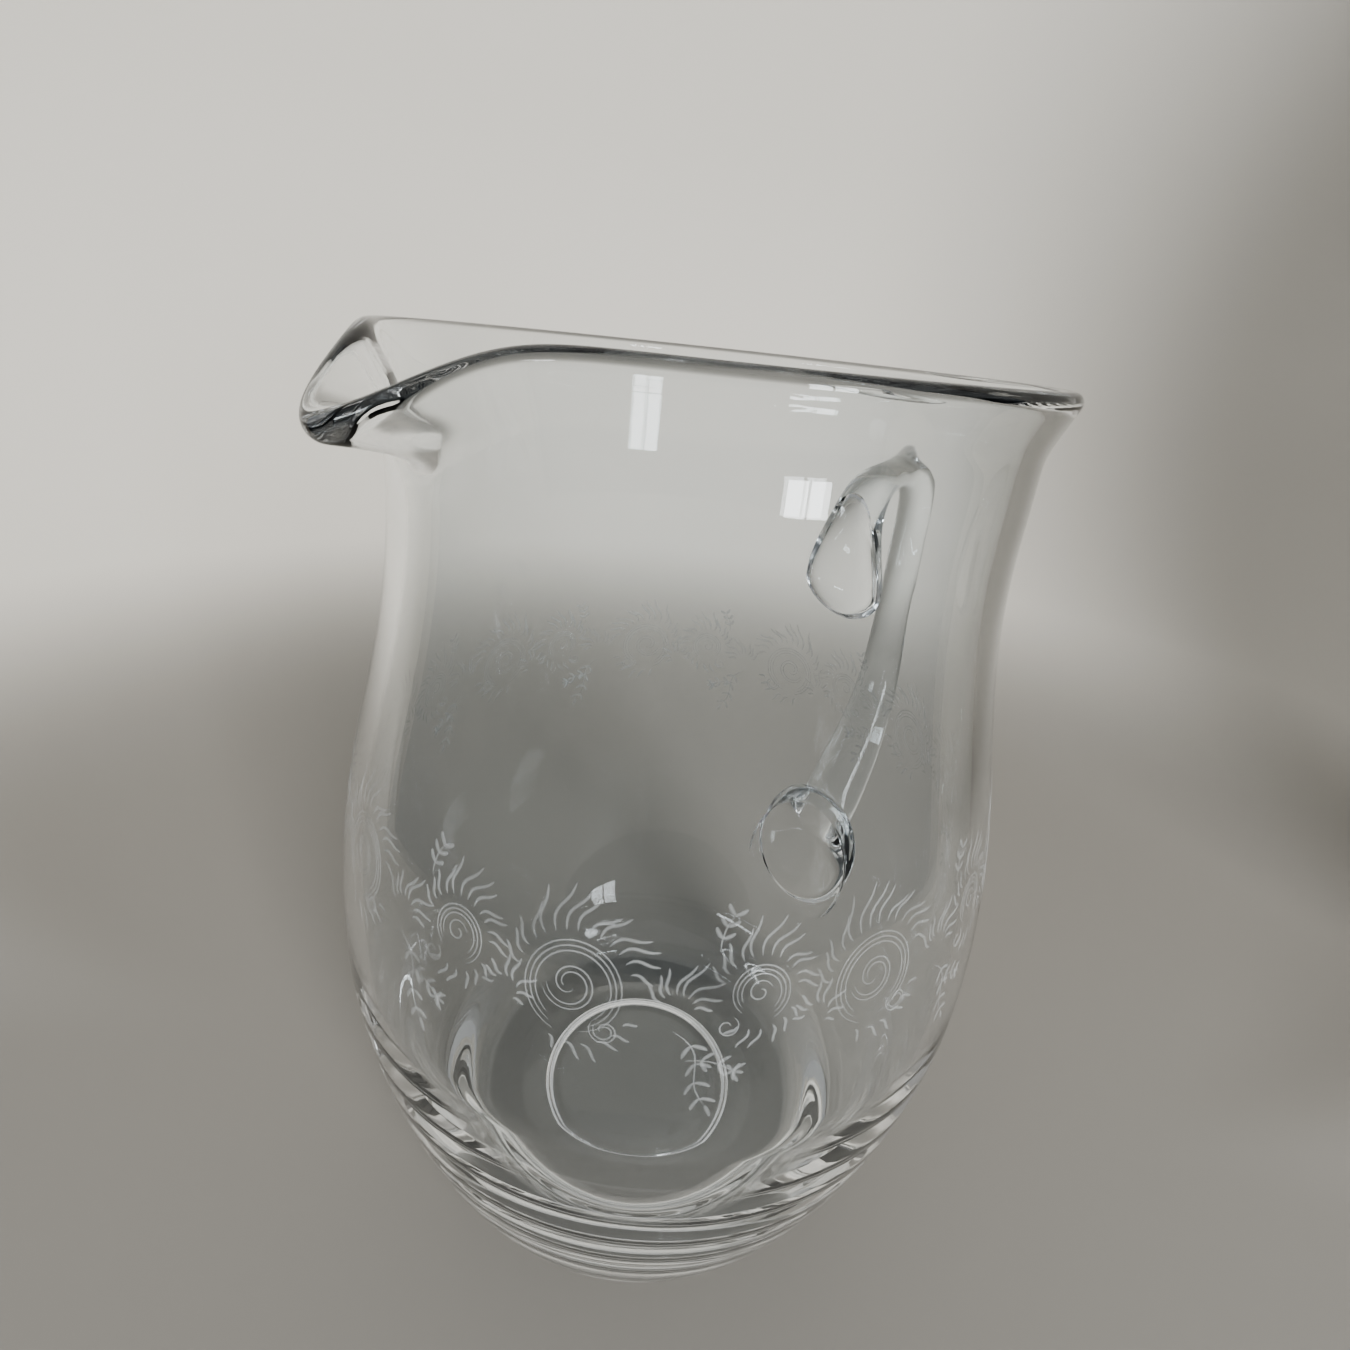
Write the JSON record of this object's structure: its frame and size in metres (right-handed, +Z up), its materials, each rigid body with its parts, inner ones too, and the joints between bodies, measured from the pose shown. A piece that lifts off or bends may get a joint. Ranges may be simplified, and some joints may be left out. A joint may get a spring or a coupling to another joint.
{
  "type": "handled glass jug",
  "caption": "Clear crystal jug with a rounded belly, drawn-in neck, flared rim, pulled pouring lip and one applied glass handle, for serving drinks.",
  "frame": {"origin": "on the surface that the jug stands on, under the middle of its box", "axes": "+Z up along the bowl's axis, -X towards the pouring lip, +X towards the handle"},
  "size_m": [0.1526, 0.122, 0.17],
  "materials": {
    "clear_crystal": "clear colourless crystal, fire-polished, with a fine matte etched band round the belly"
  },
  "bodies": {
    "root": {"bowl": "clear_crystal", "handle": "clear_crystal"}
  },
  "joints": []
}
